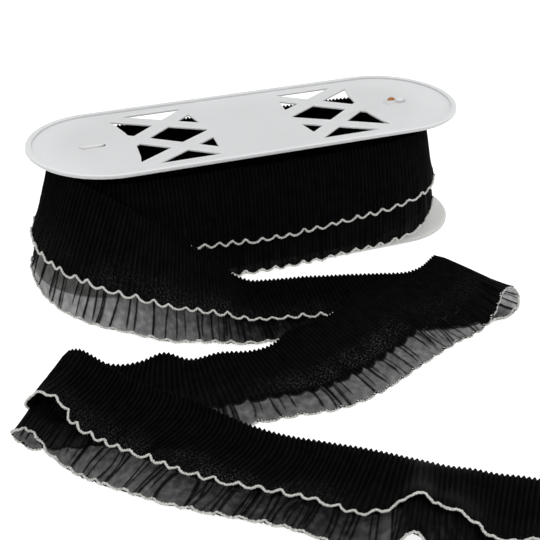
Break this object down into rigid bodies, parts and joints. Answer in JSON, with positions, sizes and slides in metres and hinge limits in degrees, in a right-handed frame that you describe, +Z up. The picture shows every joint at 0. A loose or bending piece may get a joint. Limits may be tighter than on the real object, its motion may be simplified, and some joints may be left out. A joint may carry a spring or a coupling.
{
  "type": "roll of ruffle trim on an oblong reel",
  "caption": "Pleated double ruffle trim with overlocked wavy hems, wound on an oblong plastic reel with latticed flanges, its loose end folded back and forth in front.",
  "frame": {"origin": "centre of the reel's underside, on the surface the reel and the loose end rest on", "axes": "+X along the reel to its right end, +Y away from the loose end, +Z up along the reel's posts"},
  "size_m": [0.285, 0.3426, 0.0686],
  "materials": {
    "reel_plastic": "satin moulded white plastic",
    "post_plastic": "satin moulded white plastic",
    "wound_cloth": "black pleated sheer cloth, wound",
    "long_frill_cloth": "black pleated sheer cloth with an off-white overlocked hem",
    "short_frill_cloth": "black pleated sheer cloth with an off-white overlocked hem"
  },
  "bodies": {
    "root": {"top_flange": "reel_plastic", "bottom_flange": "reel_plastic", "post_left": "post_plastic", "post_right": "post_plastic", "winding": "wound_cloth", "tail_long_frill": "long_frill_cloth", "tail_short_frill": "short_frill_cloth"}
  },
  "joints": []
}
